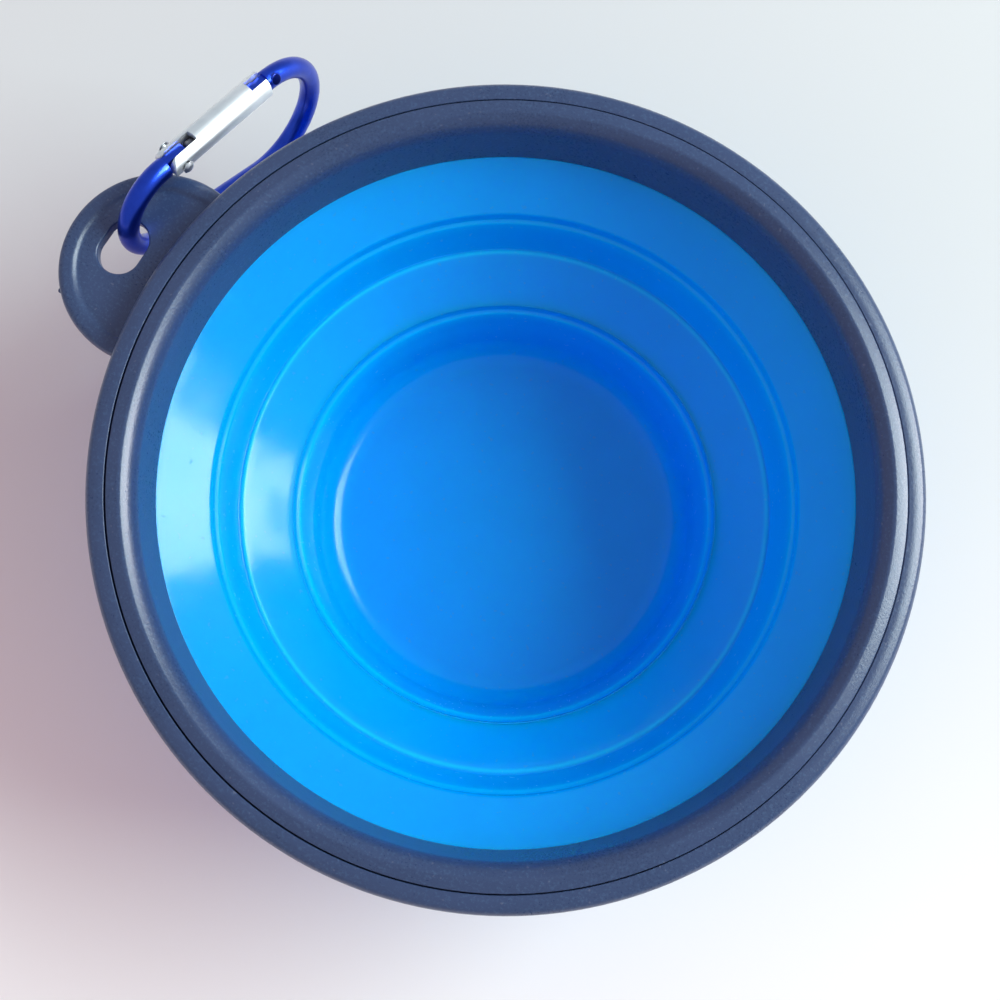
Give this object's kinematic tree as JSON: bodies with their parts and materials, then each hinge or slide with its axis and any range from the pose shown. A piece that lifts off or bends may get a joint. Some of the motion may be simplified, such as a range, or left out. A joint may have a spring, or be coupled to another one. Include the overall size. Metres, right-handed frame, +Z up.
{
  "type": "collapsible pet bowl",
  "caption": "Round soft bowl with stepped walls that fold flat into a rigid two-part rim, with a slotted tab on the rim and a small spring-gate carabiner hanging in it.",
  "frame": {"origin": "centre of the flat underside of the base", "axes": "+Z up along the bowl's axis, -X towards the tab"},
  "size_m": [0.1476, 0.13, 0.0537],
  "materials": {
    "rim_plastic": "satin navy-grey moulded plastic",
    "bowl_rubber": "satin azure food-grade rubber",
    "anodised_blue": "blue anodised, satin",
    "bare_aluminium": "turned, bare",
    "steel": "plated"
  },
  "bodies": {
    "rim": {"rim_frame_ring": "rim_plastic", "rim_bezel_ring": "rim_plastic", "bowl_upper_wall": "bowl_rubber", "bowl_upper_fold": "bowl_rubber"},
    "middle": {"bowl_middle_wall": "bowl_rubber", "bowl_lower_fold": "bowl_rubber"},
    "base": {"bowl_base_cup": "bowl_rubber"},
    "carabiner": {"carabiner_body": "anodised_blue"},
    "gate": {"carabiner_gate": "bare_aluminium", "gate_rivet": "steel", "gate_spring": "steel"},
    "plunger": {"gate_plunger": "steel"}
  },
  "joints": [
    {"name": "upper_fold_collapse", "type": "slide", "parent": "rim", "child": "middle", "axis": [0, 0, 1], "range_m": [0, 0.02], "deforming": ["bowl_upper_fold"]},
    {"name": "lower_fold_collapse", "type": "slide", "parent": "middle", "child": "base", "axis": [0, 0, 1], "range_m": [0, 0.02], "deforming": ["bowl_lower_fold"]},
    {"name": "carabiner_swing", "type": "hinge", "parent": "rim", "child": "carabiner", "pos_m": [-0.0727, 0.01051, 0.0435], "axis": [-0.9914, 0.1159, -0.0607], "range_deg": [-80, 90]},
    {"name": "gate_opening", "type": "hinge", "parent": "carabiner", "child": "gate", "pos_m": [-0.07249, 0.01611, 0.05079], "axis": [-0.9914, 0.1159, -0.0607], "range_deg": [0, 24], "stiffness_Nm_per_rad": 0.02, "springref_deg": -14.32},
    {"name": "plunger_travel", "type": "slide", "parent": "gate", "child": "plunger", "axis": [0.1277, 0.9574, -0.2588], "range_m": [0, 0.0005], "deforming": ["gate_spring"]}
  ],
  "couplings": [
    {"joint": "plunger_travel", "follows": "gate_opening", "m_per_rad": 0.00119}
  ]
}
